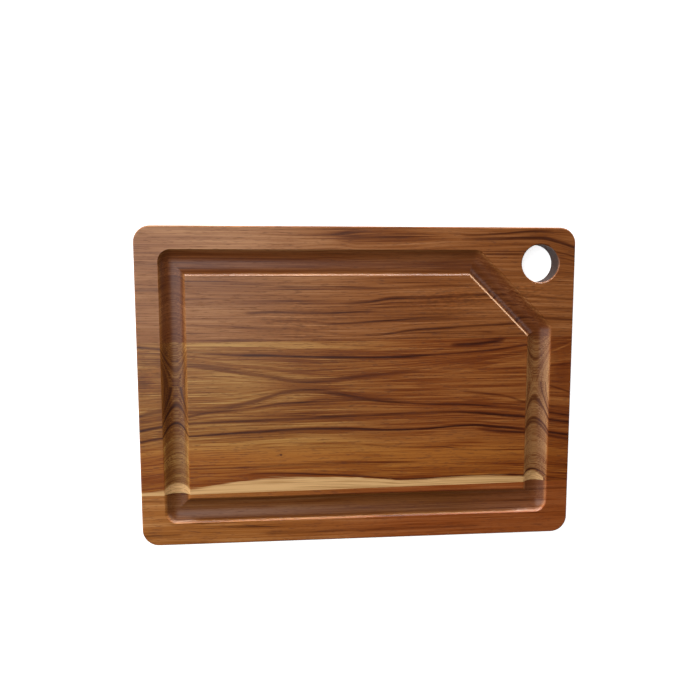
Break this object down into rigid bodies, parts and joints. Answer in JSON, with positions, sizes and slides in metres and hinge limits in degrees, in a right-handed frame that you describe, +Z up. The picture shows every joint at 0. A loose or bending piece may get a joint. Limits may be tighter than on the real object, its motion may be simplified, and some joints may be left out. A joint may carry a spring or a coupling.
{
  "type": "wooden carving board",
  "caption": "Flat rectangular carving board of edge-glued wood, with a round-bottomed juice groove round its field and a hanging hole in one corner.",
  "frame": {"origin": "middle of the underside, on the surface that the board lies on", "axes": "+X along the grain and the length, +Y across the grain towards the edge with the hanging hole, +Z up out of the grooved face"},
  "size_m": [0.4, 0.29, 0.02],
  "materials": {
    "upper_wood": "oiled",
    "middle_wood": "oiled, with a strip of pale sapwood",
    "lower_wood": "oiled"
  },
  "bodies": {
    "root": {"upper_stave": "upper_wood", "middle_stave": "middle_wood", "lower_stave": "lower_wood"}
  },
  "joints": []
}
